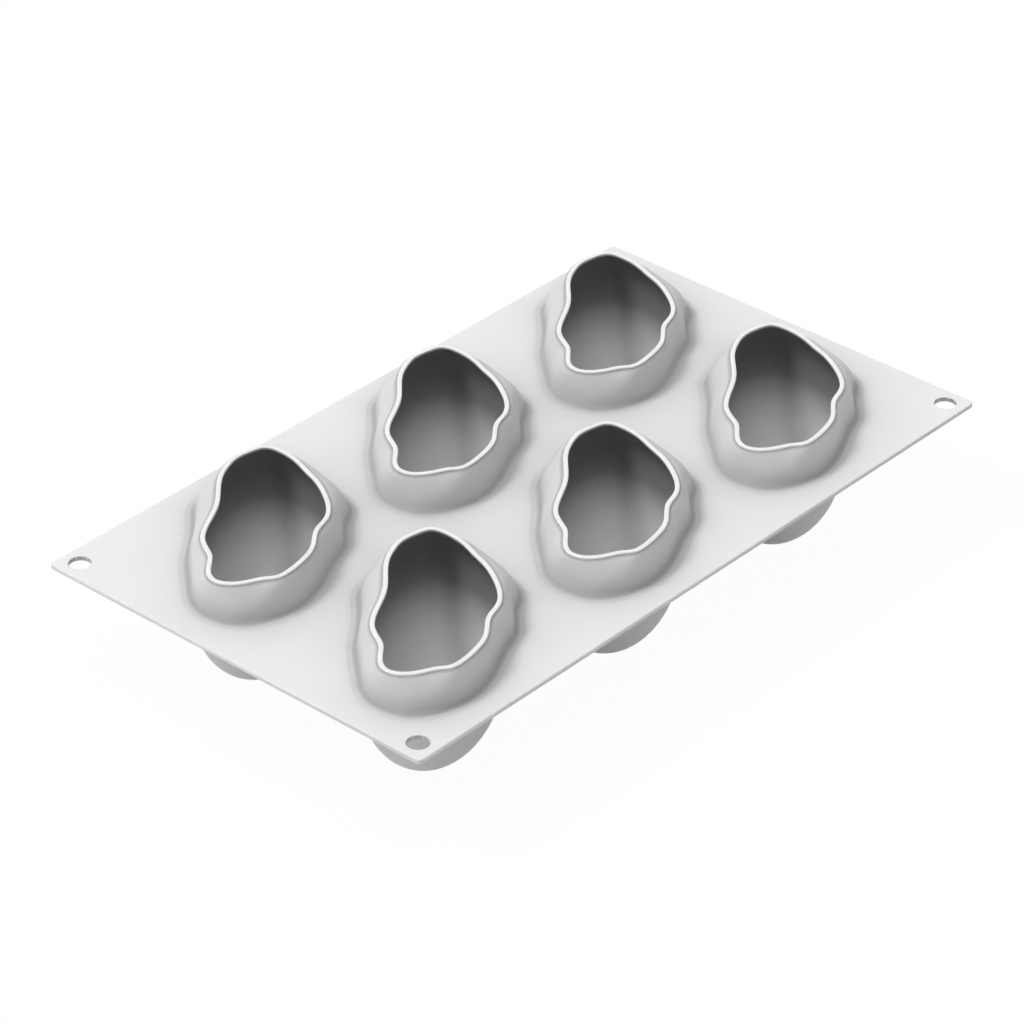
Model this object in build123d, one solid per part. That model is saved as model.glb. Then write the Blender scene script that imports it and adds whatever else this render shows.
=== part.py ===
from build123d import *
import os
from math import cos, pi, radians, sin

# Baking mold moulded in one piece from silicone: a thin sheet with six deep cups.
# Each cup has a collar above the sheet, rolled in to a narrow flat lip, and a
# round-bottomed bowl below it. All sizes are in millimetres. +X runs along the
# sheet, +Y across it and +Z up. The origin is under the middle of the sheet, on
# the surface that the bowls stand on.

# Sheet
SHEET_LENGTH = 300.0
SHEET_WIDTH = 175.0
SHEET_THICKNESS = 1.8
HOLE_DIAMETER = 8.0
HOLE_INSET = 7.5  # from a hole's centre to both edges at its corner

# Cups: a grid of columns along X and rows along Y, spread over the sheet
COLUMNS = 3
ROWS = 2
COLUMN_SPREAD = 0.311  # from column to column, as a share of the sheet's length
ROW_SPREAD = 0.459  # from row to row, as a share of the sheet's width
WALL = 2.0

# Collar and lip, from the top of the sheet upwards
COLLAR_HEIGHT = 12.0
COLLAR_ROOT_RADIUS = 2.2
LIP_HEIGHT = 1.0
LIP_WIDTH = 1.7
LIP_LEDGE = 0.5  # the collar's top stands out past the lip all round
OUTER_ROLL = 2.5  # a higher power keeps the wall upright for longer
INNER_ROLL = 2.0
ROLL_ROUNDNESS = 1.3

# Bowl, from the top of the sheet downwards
BOWL_DEPTH = 42.4  # to the lowest point of the round bottom
BOWL_ROOT_RADIUS = 1.5
FOOT_CUT = 0.5  # the round bottom is flattened by this much to stand on
BOWL_POWER = 2.33
BOWL_ROUNDNESS = 2.1

# Lower bowl: below this share of the depth the plan is an ellipse
ELLIPSE_FROM = 0.75
ELLIPSE_LENGTH = 94.4
ELLIPSE_WIDTH = 55.2
ELLIPSE_TURN = 35.1  # degrees from +X to the long axis
ELLIPSE_START = -55.5  # degrees round the ellipse to the outlines' first point
CENTRE = (-1.4, -1.5)  # of the lower bowl, from the cup's place in the grid

# Outlines of a cup seen from above, counterclockwise, from the cup's place in
# the grid. Point by point, the wall's runs out from the mouth's.
MOUTH = [
    (28.0, -0.3),
    (31.0, 8.0),
    (33.9, 16.5),
    (34.7, 25.0),
    (33.0, 30.2),
    (28.0, 32.0),
    (22.0, 32.6),
    (16.0, 31.0),
    (9.0, 27.3),
    (2.2, 21.4),
    (-4.5, 15.7),
    (-12.0, 11.3),
    (-19.3, 7.1),
    (-24.0, 2.6),
    (-27.0, -2.6),
    (-29.6, -6.3),
    (-34.0, -10.0),
    (-37.7, -14.4),
    (-37.5, -19.4),
    (-33.0, -24.0),
    (-27.0, -27.2),
    (-23.2, -30.0),
    (-17.7, -30.5),
    (-9.0, -29.0),
    (-1.3, -25.7),
    (6.0, -20.2),
    (13.5, -17.5),
    (21.0, -11.4),
]
WALL_OUTLINE = [
    (36.9, -6.6),
    (41.1, 4.8),
    (42.5, 16.0),
    (41.8, 26.9),
    (39.3, 34.5),
    (32.5, 38.3),
    (24.0, 39.7),
    (15.6, 38.0),
    (8.0, 36.0),
    (1.5, 33.6),
    (-4.5, 28.0),
    (-11.0, 21.9),
    (-18.2, 16.2),
    (-23.9, 11.5),
    (-29.2, 5.8),
    (-34.0, 0.3),
    (-38.6, -5.1),
    (-42.0, -12.1),
    (-42.1, -19.5),
    (-40.0, -26.0),
    (-35.0, -31.0),
    (-28.5, -34.0),
    (-20.0, -35.3),
    (-10.0, -33.8),
    (-0.1, -29.8),
    (9.5, -25.2),
    (19.5, -20.8),
    (27.7, -13.2),
]

# Places of the loft sections, as shares of the collar's height and the bowl's depth
COLLAR_SHARES = (0.42, 0.6, 0.75, 0.88, 0.96, 1.0)
BOWL_SHARES = (0.25, 0.45, 0.62, 0.76, 0.87, 0.95)
ROOT_TURNS = (0, 45, 90)  # degrees round the fillet at the sheet

COLUMN_PITCH = COLUMN_SPREAD * SHEET_LENGTH
ROW_PITCH = ROW_SPREAD * SHEET_WIDTH
SHEET_TOP = BOWL_DEPTH - FOOT_CUT
SHEET_BOTTOM = SHEET_TOP - SHEET_THICKNESS
LIP_BOTTOM = SHEET_TOP + COLLAR_HEIGHT
COUNT = len(MOUTH)
EPS = 1.0  # how far a cutting solid runs past the faces it opens


def closed_curve(points, z=0.0):
    """A smooth closed curve through the points, with even parameters."""
    steps = [i / len(points) for i in range(len(points) + 1)]
    return Edge.make_spline(
        [Vector(x, y, z) for x, y in points], periodic=True, parameters=steps
    )


def offset_points(points, distance):
    """Each point moved out (or in, if negative) square to its neighbours."""
    moved = []
    for i, (x, y) in enumerate(points):
        ahead = points[(i + 1) % len(points)]
        behind = points[i - 1]
        along = Vector(ahead[0] - behind[0], ahead[1] - behind[1]).normalized()
        moved.append((x + distance * along.Y, y - distance * along.X))
    return moved


def mix(first, second, share):
    """Points part of the way from the first outline to the second."""
    return [
        (a[0] + share * (b[0] - a[0]), a[1] + share * (b[1] - a[1]))
        for a, b in zip(first, second)
    ]


def shrink(points, factor):
    """Points drawn in towards the lower bowl's centre."""
    return mix([CENTRE] * len(points), points, factor)


def lower_ellipse(inset):
    """The lower bowl's plan before it closes, smaller by the inset all round."""
    half_length = ELLIPSE_LENGTH / 2 - inset
    half_width = ELLIPSE_WIDTH / 2 - inset
    turn = radians(ELLIPSE_TURN)
    points = []
    for i in range(COUNT):
        angle = radians(ELLIPSE_START) + 2 * pi * i / COUNT
        along, across = half_length * cos(angle), half_width * sin(angle)
        x = CENTRE[0] + along * cos(turn) - across * sin(turn)
        y = CENTRE[1] + along * sin(turn) + across * cos(turn)
        points.append((x, y))
    return points


def section(points, z):
    return Face(Wire([closed_curve(points, z)]))


def roll(share, power):
    """How far the collar has rolled in from the wall to the mouth, 0 to 1."""
    return 1 - (1 - share**power) ** (1 / ROLL_ROUNDNESS)


def collar_outline(inset, brim, power, share):
    """The collar's plan at a share of its height, from the wall in to the brim."""
    return mix(offset_points(WALL_OUTLINE, -inset), brim, roll(share, power))


def bowl_outline(inset, share):
    """The bowl's plan at a share of its depth, inside the wall by the inset."""
    ease = min(1.0, share / ELLIPSE_FROM)
    ease = ease * ease * (3 - 2 * ease)
    plan = mix(offset_points(WALL_OUTLINE, -inset), lower_ellipse(inset), ease)
    return shrink(plan, (1 - share**BOWL_POWER) ** (1 / BOWL_ROUNDNESS))


def flange_outline():
    """Where the flat sheet ends and a cup begins, at the foot of the collar's fillet."""
    return offset_points(WALL_OUTLINE, COLLAR_ROOT_RADIUS)


def root_fillet(outline, radius, height, level, upwards):
    """The concave fillet between the sheet and a cup's wall."""
    sections = []
    for turn in ROOT_TURNS:
        reach = radius * (1 - sin(radians(turn)))
        rise = radius * (1 - cos(radians(turn)))
        plan = offset_points(outline(rise / height), reach)
        sections.append(section(plan, level + upwards * rise))
    return loft(sections)


def make_sheet():
    """The sheet, with a hole near each corner and an opening for each cup."""
    sheet = Box(
        SHEET_LENGTH,
        SHEET_WIDTH,
        SHEET_THICKNESS,
        align=(Align.CENTER, Align.CENTER, Align.MIN),
    )
    hole = Cylinder(
        HOLE_DIAMETER / 2, SHEET_THICKNESS + 2 * EPS, align=(Align.CENTER, Align.CENTER, Align.MIN)
    )
    for place in GridLocations(
        SHEET_LENGTH - 2 * HOLE_INSET, SHEET_WIDTH - 2 * HOLE_INSET, 2, 2
    ):
        sheet -= Pos(0, 0, -EPS) * place * hole
    opening = extrude(section(flange_outline(), -EPS), SHEET_THICKNESS + 2 * EPS)
    for place in cup_places:
        sheet -= place * opening
    return Pos(0, 0, SHEET_BOTTOM) * sheet


def make_collar():
    """The rolled wall from the sheet up to the underside of the lip."""
    brim = offset_points(MOUTH, LIP_WIDTH + LIP_LEDGE)

    def outer(share):
        return collar_outline(0.0, brim, OUTER_ROLL, share)

    def inner(share):
        return collar_outline(WALL, MOUTH, INNER_ROLL, share)

    def level(share):
        return SHEET_TOP + share * COLLAR_HEIGHT

    root = root_fillet(outer, COLLAR_ROOT_RADIUS, COLLAR_HEIGHT, SHEET_TOP, 1)
    root_share = COLLAR_ROOT_RADIUS / COLLAR_HEIGHT
    outside = loft([section(outer(s), level(s)) for s in (root_share, *COLLAR_SHARES)])
    inside = loft([section(inner(s), level(s)) for s in (0.0, root_share, *COLLAR_SHARES)])
    return root + outside - inside


def make_lip():
    """The narrow flat band round the mouth, proud of the collar."""
    outside = extrude(section(offset_points(MOUTH, LIP_WIDTH), LIP_BOTTOM), LIP_HEIGHT)
    inside = extrude(section(MOUTH, LIP_BOTTOM), LIP_HEIGHT)
    return outside - inside


def make_bowl():
    """The round-bottomed bowl, with the flange at its top that joins it to the sheet."""
    inner_depth = BOWL_DEPTH - WALL
    start = SHEET_THICKNESS / BOWL_DEPTH
    root_end = start + BOWL_ROOT_RADIUS / BOWL_DEPTH
    end = 1 - FOOT_CUT / BOWL_DEPTH

    def outer(share):
        return bowl_outline(0.0, share)

    def inner(share):
        return bowl_outline(WALL, share)

    def below_sheet(share):
        return outer(start + share)

    flange = extrude(section(flange_outline(), SHEET_BOTTOM), SHEET_THICKNESS)
    root = root_fillet(below_sheet, BOWL_ROOT_RADIUS, BOWL_DEPTH, SHEET_BOTTOM, -1)
    outside = loft(
        [section(outer(s), SHEET_TOP - s * BOWL_DEPTH) for s in (root_end, *BOWL_SHARES, end)]
    )
    inside = loft(
        [section(inner(s), SHEET_TOP - s * inner_depth) for s in (0.0, *BOWL_SHARES, end)]
    )
    return flange + root + outside - inside


cup_places = GridLocations(COLUMN_PITCH, ROW_PITCH, COLUMNS, ROWS).locations

os.makedirs("parts", exist_ok=True)
export_step(make_sheet(), "parts/sheet.step")
cup_parts = {"collar": make_collar(), "lip": make_lip(), "bowl": make_bowl()}
for number, place in enumerate(cup_places, start=1):
    for name, part in cup_parts.items():
        export_step(place * part, f"parts/{name}_{number}.step")
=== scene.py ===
from math import cos, pi, radians, sin

import bmesh
import bpy
import numpy as np
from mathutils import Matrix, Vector


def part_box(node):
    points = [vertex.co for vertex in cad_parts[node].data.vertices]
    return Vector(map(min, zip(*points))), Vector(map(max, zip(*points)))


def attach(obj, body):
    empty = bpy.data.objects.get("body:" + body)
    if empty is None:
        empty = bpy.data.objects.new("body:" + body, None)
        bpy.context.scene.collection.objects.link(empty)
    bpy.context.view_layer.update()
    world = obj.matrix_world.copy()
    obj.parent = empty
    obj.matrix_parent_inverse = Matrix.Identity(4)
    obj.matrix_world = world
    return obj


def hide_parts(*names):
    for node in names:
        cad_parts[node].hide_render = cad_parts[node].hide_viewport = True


# Baking mold moulded in one piece from silicone. The sheet has a skin of its own, and each
# of the six cups has one skin for its collar and bowl, and a band for its lip. All lengths
# are in metres, and the outlines are those of the frame's solids.

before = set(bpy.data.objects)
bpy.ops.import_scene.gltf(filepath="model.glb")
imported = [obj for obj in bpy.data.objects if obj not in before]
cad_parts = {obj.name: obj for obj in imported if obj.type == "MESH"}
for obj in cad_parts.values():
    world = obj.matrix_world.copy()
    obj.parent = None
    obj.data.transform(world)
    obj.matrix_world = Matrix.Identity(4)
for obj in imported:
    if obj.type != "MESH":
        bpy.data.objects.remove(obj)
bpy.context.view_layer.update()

MM = 0.001

# Sheet, with its box read from the frame
SHEET_LOW, SHEET_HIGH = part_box("sheet")
SHEET_TOP = SHEET_HIGH.z
SHEET_BOTTOM = SHEET_LOW.z
SHEET_MIDDLE = (SHEET_TOP + SHEET_BOTTOM) / 2
SHEET_BEVEL = 0.25 * MM
BEVEL_SHOULDER = 0.3 * SHEET_BEVEL
CORNER_RADIUS = 1.5 * MM
HOLE_RADIUS = 4.0 * MM
HOLE_INSET = 7.5 * MM  # from a hole's centre to both edges at its corner

# Down a rim of the sheet: each row's height, and how far it stands back from the rim
EDGE_ROWS = (
    (SHEET_TOP, SHEET_BEVEL),
    (SHEET_TOP - BEVEL_SHOULDER, BEVEL_SHOULDER),
    (SHEET_TOP - SHEET_BEVEL, 0),
    (SHEET_BOTTOM + SHEET_BEVEL, 0),
    (SHEET_BOTTOM + BEVEL_SHOULDER, BEVEL_SHOULDER),
    (SHEET_BOTTOM, SHEET_BEVEL),
)

# Cup wall, collar and lip
CUPS = 6
WALL = 2.0 * MM
COLLAR_HEIGHT = 12.0 * MM
COLLAR_ROOT_RADIUS = 2.2 * MM
LIP_HEIGHT = 1.0 * MM
LIP_WIDTH = 1.7 * MM
LIP_LEDGE = 0.5 * MM  # the collar's top stands out past the lip all round
LIP_ROUND = 0.25 * MM
OUTER_ROLL = 2.5  # a higher power keeps the wall upright for longer
INNER_ROLL = 2.0
ROLL_ROUNDNESS = 1.3

# Bowl, with depths from the top of the sheet
BOWL_DEPTH = 42.4 * MM
BOWL_ROOT_RADIUS = 1.5 * MM
FOOT_CUT = 0.5 * MM  # the round bottom is flattened by this much to stand on
BOWL_POWER = 2.33
BOWL_ROUNDNESS = 2.1

# Lower bowl: below this share of the depth the plan is an ellipse
ELLIPSE_FROM = 0.75
ELLIPSE_LENGTH = 94.4 * MM
ELLIPSE_WIDTH = 55.2 * MM
ELLIPSE_TURN = 35.1  # degrees from +X to the long axis
ELLIPSE_START = -55.5  # degrees round the ellipse to the outlines' first point
BOWL_CENTRE = np.array([-1.4, -1.5]) * MM

# The mouth's inner edge and the wall's outer face, seen from above, counterclockwise from
# the cup's place in the grid. Point by point, the wall's runs out from the mouth's.
MOUTH = np.array([
    (28.0, -0.3), (31.0, 8.0), (33.9, 16.5), (34.7, 25.0), (33.0, 30.2), (28.0, 32.0),
    (22.0, 32.6), (16.0, 31.0), (9.0, 27.3), (2.2, 21.4), (-4.5, 15.7), (-12.0, 11.3),
    (-19.3, 7.1), (-24.0, 2.6), (-27.0, -2.6), (-29.6, -6.3), (-34.0, -10.0),
    (-37.7, -14.4), (-37.5, -19.4), (-33.0, -24.0), (-27.0, -27.2), (-23.2, -30.0),
    (-17.7, -30.5), (-9.0, -29.0), (-1.3, -25.7), (6.0, -20.2), (13.5, -17.5),
    (21.0, -11.4),
]) * MM
WALL_OUTLINE = np.array([
    (36.9, -6.6), (41.1, 4.8), (42.5, 16.0), (41.8, 26.9), (39.3, 34.5), (32.5, 38.3),
    (24.0, 39.7), (15.6, 38.0), (8.0, 36.0), (1.5, 33.6), (-4.5, 28.0), (-11.0, 21.9),
    (-18.2, 16.2), (-23.9, 11.5), (-29.2, 5.8), (-34.0, 0.3), (-38.6, -5.1),
    (-42.0, -12.1), (-42.1, -19.5), (-40.0, -26.0), (-35.0, -31.0), (-28.5, -34.0),
    (-20.0, -35.3), (-10.0, -33.8), (-0.1, -29.8), (9.5, -25.2), (19.5, -20.8),
    (27.7, -13.2),
]) * MM

# Greys of the silicone, with painted shade and painted light in them
SHEET_GREY = 0.875
# Painted shade on the sheet round each cup, where the collars shade it
SHADES = ((0.18, 10 * MM, 1), (0.11, 1.6 * MM, 2))  # round a cup: how dark, far and abrupt
# The painted shade takes no more than this off the sheet's grey
SHADE_MOST = 0.40
# Painted shade: a dark band up the fillet at each collar's foot
FILLET_PAINTED_SHADE = (0.46, 0.41, 0.42, 0.48, 0.56, 0.60)  # ring by ring up a collar's fillet
# Painted shade up a collar's outside: darker near its foot, lighter higher up, and a painted
# dark line on the ledge round the lip's foot
COLLAR_HEIGHTS = np.array([2.2, 3.2, 5.0, 8.0, 11.6, 12.0]) * MM  # above the sheet
COLLAR_PAINTED_SHADING = (0.60, 0.635, 0.655, 0.69, 0.67, 0.45)
# Painted shade inside a cavity: lightest at its floor, darkest high up under the collar
CAVITY_HEIGHTS = np.array([0, 18.0, 25.0, 33.0, 45.0, 53.0]) * MM  # above the bowls' feet
CAVITY_PAINTED_SHADE_GREYS = (0.71, 0.67, 0.54, 0.27, 0.22, 0.23)
# Painted shade: the sheet's underside and the bowls darker than its top
UNDERSIDE_PAINTED_SHADE_GREY = 0.74
BOWL_PAINTED_SHADE_GREY = 0.60
# Painted light: the lips lighter than the rest of the silicone, where they face up into the
# light
LIP_PAINTED_LIGHT_GREY = 0.97
# Painted shade on the sheet's sides, darker than its top
EDGE_PAINTED_SHADE_GREY = 0.70
# Painted shade on the walls of the corner holes
HOLE_PAINTED_SHADE_GREY = 0.50

# Mesh density
STEPS_PER_POINT = 5
FILLET_STEPS = len(FILLET_PAINTED_SHADE)
COLLAR_STEPS = 16
BOWL_STEPS = 30
LIP_STEPS = 5
HOLE_STEPS = 48
CORNER_STEPS = 7
FLANGE = 1.2 * MM  # flat ring round a cup, level with the sheet
CELL = 3.0 * MM  # of the sheet's top
MERGE = 0.01 * MM  # points closer than this become one

# Silicone: the scales are of noise, and the ranges are what the noise swings between
CLOUD_SCALE = 35.0
CLOUD_DETAIL = 4.0
CLOUD_RANGE = (0.97, 1.02)
SMEAR_SCALE = 90.0
SMEAR_DETAIL = 3.0
ROUGHNESS_SWING = 0.06
GRAIN_SCALE = 1800.0
GRAIN_DETAIL = 3.0
GRAIN_DEPTH = 0.05 * MM
SILICONE_IOR = 1.41
SPECULAR_LEVEL = 0.3
SUBSURFACE_WEIGHT = 0.35
SUBSURFACE_DEPTH = 1.5 * MM

# Camera: where the photograph was taken from, above the middle of the sheet's top
CAMERA_AWAY = Vector((-1.0228, -0.9069, 0.8707))
CAMERA_AZIMUTH = 48.25  # degrees from +Y towards +X, looking ahead
CAMERA_ELEVATION = 32.89
CAMERA_LENS = 159.5
CAMERA_SENSOR = 36.0

# Light: a key lamp from behind on the left, a softer one overhead, a weak wide one from
# the front on the right, and a faint dome of light
KEY_FROM = Vector((-0.43, 0.40, 0.81))
KEY_STRENGTH = 1.25
KEY_ANGLE = 17.0
OVERHEAD_FROM = Vector((-0.05, -0.05, 1.0))
OVERHEAD_STRENGTH = 0.95
OVERHEAD_ANGLE = 35.0
FILL_FROM = Vector((0.10, -0.95, 0.05))
FILL_STRENGTH = 0.3
FILL_ANGLE = 90.0
DOME_FROM = Vector((-0.3, 0.7, 0.6))
DOME_FADE = -0.67  # cosine of the angle from there at which the dome has faded out
DOME_HIGH = 0.5
FLOOR_HALF = 4.0
FLOOR_SHADE = 0.95
FLOOR_GLOW = 0.97  # share of the floor that shows as plain white


def spline(points, steps):
    """Points on the smooth closed curve through the given points, evenly by parameter."""
    count = len(points)
    ahead = np.roll(points, -1, 0)
    matrix = 4 * np.eye(count) + np.eye(count, k=1) + np.eye(count, k=-1)
    matrix[0, -1] = matrix[-1, 0] = 1
    bend = np.linalg.solve(matrix, 6 * (ahead - 2 * points + np.roll(points, 1, 0)))
    bend_ahead = np.roll(bend, -1, 0)
    curve = []
    for t in np.arange(steps) / steps:
        s = 1 - t
        curve.append(
            s * points + t * ahead + ((s**3 - s) * bend + (t**3 - t) * bend_ahead) / 6
        )
    return np.stack(curve, 1).reshape(-1, 2)


def offset(points, distance):
    """Each point moved out, or in if negative, square to its neighbours."""
    along = np.roll(points, -1, 0) - np.roll(points, 1, 0)
    along /= np.linalg.norm(along, axis=1)[:, None]
    return points + distance * np.stack([along[:, 1], -along[:, 0]], 1)


def mix(first, second, share):
    return first + share * (second - first)


def lower_ellipse(inset):
    """The lower bowl's plan before it closes, smaller by the inset all round."""
    angle = radians(ELLIPSE_START) + 2 * pi * np.arange(len(MOUTH)) / len(MOUTH)
    along = (ELLIPSE_LENGTH / 2 - inset) * np.cos(angle)
    across = (ELLIPSE_WIDTH / 2 - inset) * np.sin(angle)
    turn = radians(ELLIPSE_TURN)
    x = along * cos(turn) - across * sin(turn)
    y = along * sin(turn) + across * cos(turn)
    return BOWL_CENTRE + np.stack([x, y], 1)


def roll(share, power):
    """How far the collar has rolled in from the wall to the mouth, 0 to 1."""
    return 1 - (1 - share**power) ** (1 / ROLL_ROUNDNESS)


def bowl_outline(inset, share):
    """The bowl's plan at a share of its depth, inside the wall by the inset."""
    ease = min(1.0, share / ELLIPSE_FROM)
    ease = ease * ease * (3 - 2 * ease)
    plan = mix(offset(WALL_OUTLINE, -inset), lower_ellipse(inset), ease)
    return mix(BOWL_CENTRE, plan, (1 - share**BOWL_POWER) ** (1 / BOWL_ROUNDNESS))


BRIM = offset(MOUTH, LIP_WIDTH + LIP_LEDGE)
FOOT = offset(WALL_OUTLINE, COLLAR_ROOT_RADIUS)
BOWL_FOOT = offset(bowl_outline(0, (SHEET_TOP - SHEET_BOTTOM) / BOWL_DEPTH), BOWL_ROOT_RADIUS)
LIP_BOTTOM = SHEET_TOP + COLLAR_HEIGHT


def outer_collar(height):
    """The collar's outer plan at a height above the sheet."""
    return mix(WALL_OUTLINE, BRIM, roll(height / COLLAR_HEIGHT, OUTER_ROLL))


def inner_collar(height):
    """The collar's inner plan at a height above the sheet."""
    return mix(offset(WALL_OUTLINE, -WALL), MOUTH, roll(height / COLLAR_HEIGHT, INNER_ROLL))


def sheet_grey_and_painted_shade(points):
    """The sheet's grey at each point, with painted shade: darker the closer the cups stand
    round it.
    """
    shade = 0
    for foot in feet:
        gaps = np.linalg.norm(points[:, None] - foot[None], axis=2).min(1)
        for depth, reach, power in SHADES:
            shade = shade + depth * np.exp(-((gaps / reach) ** power))
    return SHEET_GREY - np.minimum(shade, SHADE_MOST)


def cavity_grey_with_painted_shade(height):
    return np.interp(height, CAVITY_HEIGHTS, CAVITY_PAINTED_SHADE_GREYS)


def outside_rings(place):
    """Outlines, heights and greys from the flat ring on the sheet up to the lip's foot."""
    flange = offset(FOOT, FLANGE)
    near = sheet_grey_and_painted_shade(spline(flange, STEPS_PER_POINT) + place)
    foot = sheet_grey_and_painted_shade(spline(FOOT, STEPS_PER_POINT) + place)
    rings = [(flange, SHEET_TOP, near)]
    turns = np.linspace(0, pi / 2, FILLET_STEPS + 1)
    for turn, grey in zip(turns, (foot, *FILLET_PAINTED_SHADE)):
        rise = COLLAR_ROOT_RADIUS * (1 - cos(turn))
        reach = COLLAR_ROOT_RADIUS * (1 - sin(turn))
        rings.append((offset(outer_collar(rise), reach), SHEET_TOP + rise, grey))
    turns = np.linspace(0, pi / 2, COLLAR_STEPS + 1)[1:]
    for rise in COLLAR_ROOT_RADIUS + (COLLAR_HEIGHT - COLLAR_ROOT_RADIUS) * np.sin(turns):
        grey = np.interp(rise, COLLAR_HEIGHTS, COLLAR_PAINTED_SHADING)
        rings.append((outer_collar(min(rise, COLLAR_HEIGHT)), SHEET_TOP + rise, grey))
    rings.append((offset(MOUTH, LIP_WIDTH), LIP_BOTTOM, COLLAR_PAINTED_SHADING[-1]))
    return rings


def bowl_rings(inset, depth, start):
    """Outlines and heights of a bowl's face, from a depth of start down to its bottom."""
    first = np.arcsin(start / depth)
    last = np.arcsin(1 - FOOT_CUT / BOWL_DEPTH)
    return [
        (bowl_outline(inset, sin(turn)), SHEET_TOP - depth * sin(turn))
        for turn in np.linspace(first, last, BOWL_STEPS)
    ]


def inside_rings():
    """Outlines, heights and greys from the mouth down the cavity to its floor."""
    rings = []
    for turn in np.linspace(pi / 2, 0, COLLAR_STEPS + 1):
        rise = COLLAR_HEIGHT * sin(turn)
        rings.append((inner_collar(rise), SHEET_TOP + rise, cavity_grey_with_painted_shade(SHEET_TOP + rise)))
    depth = BOWL_DEPTH - WALL
    for outline, height in bowl_rings(WALL, depth, SHEET_TOP - SHEET_BOTTOM):
        rings.append((outline, height, cavity_grey_with_painted_shade(height)))
    return rings


def underside_rings():
    """Outlines, heights and greys from the flat ring under the sheet down to the foot."""
    start = SHEET_TOP - SHEET_BOTTOM
    rings = [(offset(BOWL_FOOT, FLANGE), SHEET_BOTTOM, UNDERSIDE_PAINTED_SHADE_GREY)]
    for turn in np.linspace(0, pi / 2, FILLET_STEPS + 1)[:-1]:
        drop = BOWL_ROOT_RADIUS * (1 - cos(turn))
        reach = BOWL_ROOT_RADIUS * (1 - sin(turn))
        outline = bowl_outline(0, (start + drop) / BOWL_DEPTH)
        rings.append((offset(outline, reach), SHEET_BOTTOM - drop, UNDERSIDE_PAINTED_SHADE_GREY))
    for outline, height in bowl_rings(0, BOWL_DEPTH, start + BOWL_ROOT_RADIUS):
        rings.append((outline, height, BOWL_PAINTED_SHADE_GREY))
    return rings


def lip_rings():
    """Outlines, heights and greys over the lip, from its outer foot to its inner one."""
    reaches = [(LIP_WIDTH, 0)]
    for turn in np.linspace(0, pi / 2, LIP_STEPS):
        drop = LIP_ROUND * (1 - sin(turn))
        reaches.append((LIP_WIDTH - LIP_ROUND * (1 - cos(turn)), LIP_HEIGHT - drop))
    for turn in np.linspace(pi / 2, 0, LIP_STEPS):
        drop = LIP_ROUND * (1 - sin(turn))
        reaches.append((LIP_ROUND * (1 - cos(turn)), LIP_HEIGHT - drop))
    reaches.append((0, 0))
    return [(offset(MOUTH, reach), LIP_BOTTOM + rise, LIP_PAINTED_LIGHT_GREY) for reach, rise in reaches]


def new_mesh():
    """An empty mesh and its layer of greys, with painted shade and painted light in them, one
    at each vertex.
    """
    mesh = bmesh.new()
    return mesh, mesh.verts.layers.float_color.new("grey_and_painted_shading")


def colour(grey):
    return (grey, grey, grey, 1)


def bridge(mesh, first, second):
    """Quads between two closed rows of vertices."""
    for i in range(len(first)):
        j = (i + 1) % len(first)
        mesh.faces.new((first[i], first[j], second[j], second[i]))


def add_rings(mesh, grey_and_painted_shading, rings, place):
    """A skin of quads through the rings; returns the first and last ring's vertices."""
    rows = []
    for outline, height, grey in rings:
        dense = spline(outline, STEPS_PER_POINT)
        row = [mesh.verts.new((x, y, height)) for x, y in dense + place]
        for vert, level in zip(row, np.broadcast_to(grey, len(row))):
            vert[grey_and_painted_shading] = colour(level)
        rows.append(row)
    for low, high in zip(rows, rows[1:]):
        bridge(mesh, low, high)
    return rows[0], rows[-1]


def make_object(name, mesh, material, smooth=True):
    """The finished mesh as a piece that rides on the mold's one body."""
    bmesh.ops.recalc_face_normals(mesh, faces=mesh.faces)
    for face in mesh.faces:
        face.smooth = smooth
    data = bpy.data.meshes.new(name)
    mesh.to_mesh(data)
    mesh.free()
    data.materials.append(material)
    piece = bpy.data.objects.new(name, data)
    bpy.context.scene.collection.objects.link(piece)
    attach(piece, "root")
    return piece


def make_cup(number, place, material):
    """The collar and the bowl as one closed skin."""
    mesh, grey_and_painted_shading = new_mesh()
    top, brim = add_rings(mesh, grey_and_painted_shading, outside_rings(place), place)
    mouth, floor = add_rings(mesh, grey_and_painted_shading, inside_rings(), place)
    bottom, foot = add_rings(mesh, grey_and_painted_shading, underside_rings(), place)
    bridge(mesh, brim, mouth)
    bridge(mesh, top, bottom)
    for ring in (top, bottom):
        for i in range(len(ring)):
            mesh.edges.get((ring[i - 1], ring[i])).smooth = False
    mesh.faces.new(floor)
    mesh.faces.new(foot)
    piece = make_object(f"cup_skin_{number}", mesh, material)
    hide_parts(f"collar_{number}", f"bowl_{number}")


def make_lip(number, place, material):
    """The narrow flat band round the mouth, with soft edges."""
    mesh, grey_and_painted_shading = new_mesh()
    outer, inner = add_rings(mesh, grey_and_painted_shading, lip_rings(), place)
    bridge(mesh, outer, inner)
    piece = make_object(f"lip_band_{number}", mesh, material)
    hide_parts(f"lip_{number}")


def circle(x, y, radius):
    angles = 2 * pi * np.arange(HOLE_STEPS) / HOLE_STEPS
    return [(x + radius * cos(a), y + radius * sin(a)) for a in angles]


def corners(inset):
    """The four places at an inset from both edges at a corner, counterclockwise."""
    x, y = SHEET_HIGH.x - inset, SHEET_HIGH.y - inset
    return [(-x, -y), (x, -y), (x, y), (-x, y)]


def rim_outline(inset):
    """The sheet's outline, with its corners slightly rounded."""
    points = []
    reach = CORNER_RADIUS - inset
    for quarter, (x, y) in enumerate(corners(CORNER_RADIUS)):
        for turn in np.linspace(-pi, -pi / 2, CORNER_STEPS) + quarter * pi / 2:
            points.append((x + reach * cos(turn), y + reach * sin(turn)))
    return points


def loop(mesh, outline, height):
    """A closed row of vertices at one height, and its edges."""
    verts = [mesh.verts.new((x, y, height)) for x, y in outline]
    edges = [mesh.edges.new((verts[i - 1], verts[i])) for i in range(len(verts))]
    return verts, edges


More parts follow.
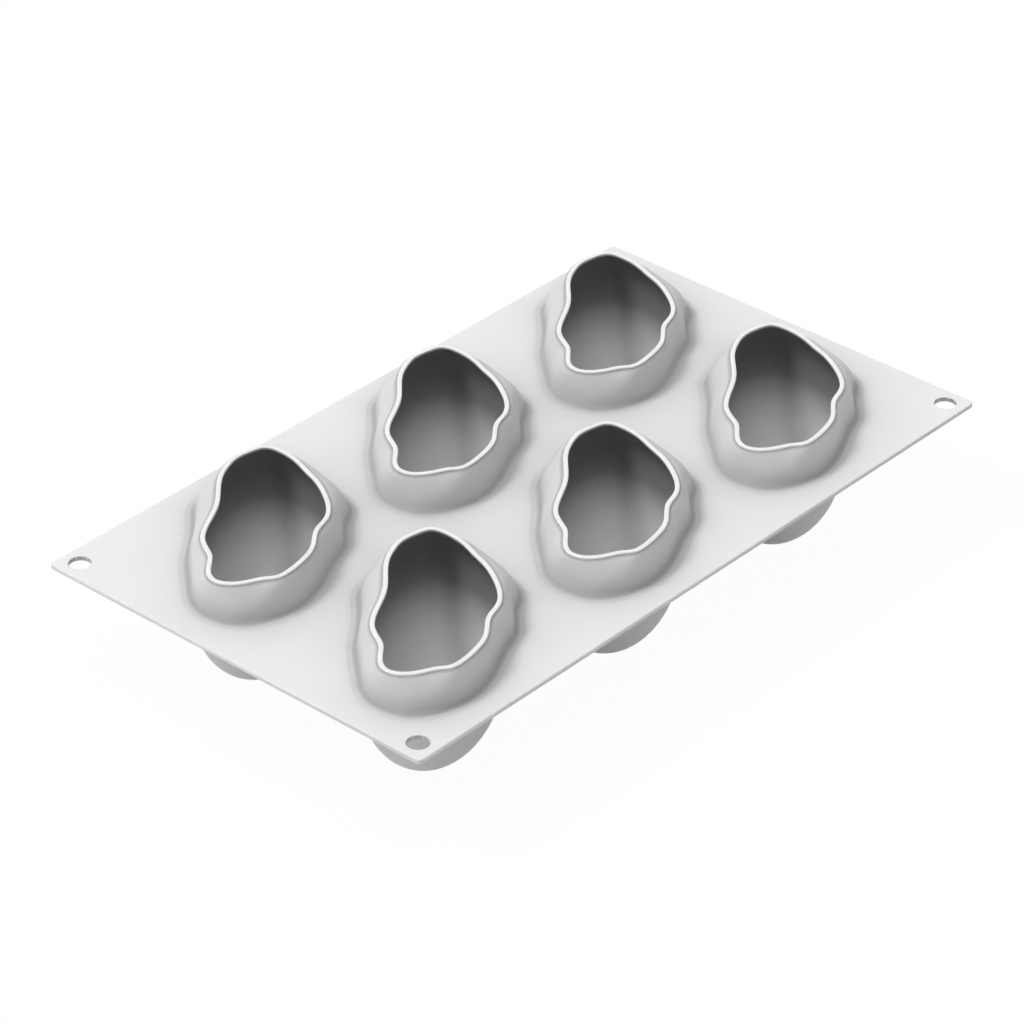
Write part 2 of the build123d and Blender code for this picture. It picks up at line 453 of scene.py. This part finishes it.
def make_sheet(places, material):
    """The flat sheet, softened at its rim and holes, and open where the cups are."""
    mesh, grey_and_painted_shading = new_mesh()
    above = spline(offset(FOOT, FLANGE), STEPS_PER_POINT)
    below = spline(offset(BOWL_FOOT, FLANGE), STEPS_PER_POINT)
    top_edges, bottom_edges = [], []
    for place in places:
        upper, upper_edges = loop(mesh, above + place, SHEET_TOP)
        lower, lower_edges = loop(mesh, below + place, SHEET_BOTTOM)
        bridge(mesh, upper, lower)
        top_edges += upper_edges
        bottom_edges += lower_edges

    rims = [(rim_outline, EDGE_PAINTED_SHADE_GREY)]
    for x, y in corners(HOLE_INSET):
        rims.append((lambda back, x=x, y=y: circle(x, y, HOLE_RADIUS + back), HOLE_PAINTED_SHADE_GREY))
    walls = []
    for rim, grey in rims:
        rows = [loop(mesh, rim(back), height) for height, back in EDGE_ROWS]
        for (high, _), (low, _) in zip(rows, rows[1:]):
            bridge(mesh, high, low)
        top_edges += rows[0][1]
        bottom_edges += rows[-1][1]
        walls += [(vert, grey) for row, _ in rows[1:-1] for vert in row]

    for edges in (top_edges, bottom_edges):
        bmesh.ops.triangle_fill(mesh, edges=edges, use_beauty=True)
    slice_up(mesh)
    greys = sheet_grey_and_painted_shade(np.array([vert.co.xy for vert in mesh.verts]))
    for vert, grey in zip(mesh.verts, greys):
        vert[grey_and_painted_shading] = colour(grey if vert.co.z > SHEET_MIDDLE else UNDERSIDE_PAINTED_SHADE_GREY)
    for vert, grey in walls:
        vert[grey_and_painted_shading] = colour(grey)
    piece = make_object("sheet_skin", mesh, material, smooth=False)
    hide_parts("sheet")


def slice_up(mesh):
    """Cuts the top face into small cells, so that its colour and painted shade can change
    smoothly.
    """
    faces = [face for face in mesh.faces if min(v.co.z for v in face.verts) > SHEET_MIDDLE]
    edges = dict.fromkeys(edge for face in faces for edge in face.edges)
    verts = dict.fromkeys(vert for face in faces for vert in face.verts)
    parts = [*faces, *edges, *verts]
    for axis, reach in ((0, SHEET_HIGH.x), (1, SHEET_HIGH.y)):
        normal = Vector((axis == 0, axis == 1, 0))
        for along in np.arange(-reach + CELL, reach - CELL / 2, CELL):
            parts = bmesh.ops.bisect_plane(
                mesh, geom=parts, plane_co=along * normal, plane_no=normal
            )["geom"]
    bmesh.ops.remove_doubles(mesh, verts=mesh.verts, dist=MERGE)


def noise(nodes, links, scale, detail):
    """Noise over the piece's own coordinates, 0 to 1."""
    coords = nodes.new("ShaderNodeTexCoord")
    texture = nodes.new("ShaderNodeTexNoise")
    texture.inputs["Scale"].default_value = scale
    texture.inputs["Detail"].default_value = detail
    links.new(coords.outputs["Object"], texture.inputs["Vector"])
    return texture.outputs["Fac"]


def between(nodes, links, value, low, high):
    """A value of 0 to 1 brought between low and high."""
    span = nodes.new("ShaderNodeMapRange")
    span.inputs["To Min"].default_value = low
    span.inputs["To Max"].default_value = high
    links.new(value, span.inputs["Value"])
    return span.outputs["Result"]


def silicone(name, roughness, grain):
    """Matt silicone rubber with a fine moulded grain, in the greys that the mesh carries,
    with painted shade and painted light in them.
    """
    material = bpy.data.materials.new(name)
    material.use_nodes = True
    nodes, links = material.node_tree.nodes, material.node_tree.links
    shader = nodes["Principled BSDF"]

    grey_and_painted_shading = nodes.new("ShaderNodeVertexColor")
    grey_and_painted_shading.layer_name = "grey_and_painted_shading"
    cloud = noise(nodes, links, CLOUD_SCALE, CLOUD_DETAIL)
    tint = nodes.new("ShaderNodeVectorMath")
    tint.operation = "SCALE"
    links.new(grey_and_painted_shading.outputs["Color"], tint.inputs[0])
    links.new(between(nodes, links, cloud, *CLOUD_RANGE), tint.inputs["Scale"])
    links.new(tint.outputs["Vector"], shader.inputs["Base Color"])

    smear = noise(nodes, links, SMEAR_SCALE, SMEAR_DETAIL)
    low, high = roughness - ROUGHNESS_SWING, roughness + ROUGHNESS_SWING
    links.new(between(nodes, links, smear, low, high), shader.inputs["Roughness"])

    bump = nodes.new("ShaderNodeBump")
    bump.inputs["Strength"].default_value = grain
    bump.inputs["Distance"].default_value = GRAIN_DEPTH
    links.new(noise(nodes, links, GRAIN_SCALE, GRAIN_DETAIL), bump.inputs["Height"])
    links.new(bump.outputs["Normal"], shader.inputs["Normal"])

    shader.inputs["IOR"].default_value = SILICONE_IOR
    shader.inputs["Specular IOR Level"].default_value = SPECULAR_LEVEL
    shader.inputs["Subsurface Weight"].default_value = SUBSURFACE_WEIGHT
    shader.inputs["Subsurface Radius"].default_value = (1.0, 1.0, 1.0)
    shader.inputs["Subsurface Scale"].default_value = SUBSURFACE_DEPTH
    return material


def white_seen(nodes, links):
    """1 for the rays that show the background: the camera's, reflections, transmission."""
    path = nodes.new("ShaderNodeLightPath")
    total = path.outputs["Is Camera Ray"]
    for kind in ("Is Glossy Ray", "Is Transmission Ray"):
        either = nodes.new("ShaderNodeMath")
        either.operation = "MAXIMUM"
        links.new(total, either.inputs[0])
        links.new(path.outputs[kind], either.inputs[1])
        total = either.outputs[0]
    return total


def make_floor():
    """A plain white floor that shows a faint shadow."""
    data = bpy.data.meshes.new("floor")
    places = [(-1, -1), (1, -1), (1, 1), (-1, 1)]
    verts = [(FLOOR_HALF * x, FLOOR_HALF * y, 0) for x, y in places]
    data.from_pydata(verts, [], [(0, 1, 2, 3)])
    floor = bpy.data.objects.new("floor", data)
    bpy.context.scene.collection.objects.link(floor)
    material = bpy.data.materials.new("floor")
    material.use_nodes = True
    nodes, links = material.node_tree.nodes, material.node_tree.links
    nodes.clear()
    out = nodes.new("ShaderNodeOutputMaterial")
    diffuse = nodes.new("ShaderNodeBsdfDiffuse")
    diffuse.inputs["Color"].default_value = (FLOOR_SHADE, FLOOR_SHADE, FLOOR_SHADE, 1)
    glow = nodes.new("ShaderNodeEmission")
    seen = nodes.new("ShaderNodeMath")
    seen.operation = "MULTIPLY"
    seen.inputs[1].default_value = FLOOR_GLOW
    links.new(white_seen(nodes, links), seen.inputs[0])
    blend = nodes.new("ShaderNodeMixShader")
    links.new(seen.outputs[0], blend.inputs["Fac"])
    links.new(diffuse.outputs[0], blend.inputs[1])
    links.new(glow.outputs[0], blend.inputs[2])
    links.new(blend.outputs[0], out.inputs["Surface"])
    data.materials.append(material)


def make_world():
    """A soft dome of light, brighter behind the object, that the camera sees as white."""
    world = bpy.data.worlds.new("studio")
    bpy.context.scene.world = world
    world.use_nodes = True
    nodes, links = world.node_tree.nodes, world.node_tree.links
    back = nodes["Background"]
    back.inputs["Color"].default_value = (1, 1, 1, 1)
    coords = nodes.new("ShaderNodeTexCoord")
    facing = nodes.new("ShaderNodeVectorMath")
    facing.operation = "DOT_PRODUCT"
    facing.inputs[1].default_value = DOME_FROM.normalized()
    dome = nodes.new("ShaderNodeMapRange")
    dome.inputs["From Min"].default_value = DOME_FADE
    dome.inputs["To Max"].default_value = DOME_HIGH
    strength = nodes.new("ShaderNodeMix")
    strength.inputs["B"].default_value = 1.0
    links.new(coords.outputs["Generated"], facing.inputs[0])
    links.new(facing.outputs["Value"], dome.inputs["Value"])
    links.new(dome.outputs["Result"], strength.inputs["A"])
    links.new(white_seen(nodes, links), strength.inputs["Factor"])
    links.new(strength.outputs["Result"], back.inputs["Strength"])


def make_sun(name, direction, strength, angle):
    """A distant lamp that shines from the direction, as wide as the angle in degrees."""
    data = bpy.data.lights.new(name, "SUN")
    data.angle = radians(angle)
    data.energy = strength
    sun = bpy.data.objects.new(name, data)
    bpy.context.scene.collection.objects.link(sun)
    sun.rotation_euler = direction.to_track_quat("Z", "Y").to_euler()


def make_camera():
    data = bpy.data.cameras.new("camera")
    data.lens = CAMERA_LENS
    data.sensor_width = CAMERA_SENSOR
    camera = bpy.data.objects.new("camera", data)
    bpy.context.scene.collection.objects.link(camera)
    camera.location = CAMERA_AWAY + Vector((0, 0, SHEET_TOP))
    heading, tilt = radians(CAMERA_AZIMUTH), radians(CAMERA_ELEVATION)
    ahead = Vector((sin(heading) * cos(tilt), cos(heading) * cos(tilt), -sin(tilt)))
    camera.rotation_euler = ahead.to_track_quat("-Z", "Y").to_euler()
    bpy.context.scene.camera = camera


def cup_places():
    """Each cup's own origin, found from its lip in the frame."""
    dense = spline(offset(MOUTH, LIP_WIDTH), STEPS_PER_POINT)
    middle = (dense.min(0) + dense.max(0)) / 2
    places = []
    for number in range(1, CUPS + 1):
        low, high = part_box(f"lip_{number}")
        centre = (low + high) / 2
        places.append(np.array([centre.x, centre.y]) - middle)
    return places


sheet_material = silicone("silicone_sheet", roughness=0.5, grain=0.25)
cup_material = silicone("silicone_cup", roughness=0.5, grain=0.25)
lip_material = silicone("silicone_lip", roughness=0.42, grain=0.15)

places = cup_places()
feet = [spline(FOOT, STEPS_PER_POINT) + place for place in places]
make_sheet(places, sheet_material)
for number, place in enumerate(places, 1):
    make_cup(number, place, cup_material)
    make_lip(number, place, lip_material)

make_floor()
make_world()
make_sun("key", KEY_FROM, KEY_STRENGTH, KEY_ANGLE)
make_sun("overhead", OVERHEAD_FROM, OVERHEAD_STRENGTH, OVERHEAD_ANGLE)
make_sun("fill", FILL_FROM, FILL_STRENGTH, FILL_ANGLE)
make_camera()
bpy.context.scene.view_settings.view_transform = "Standard"
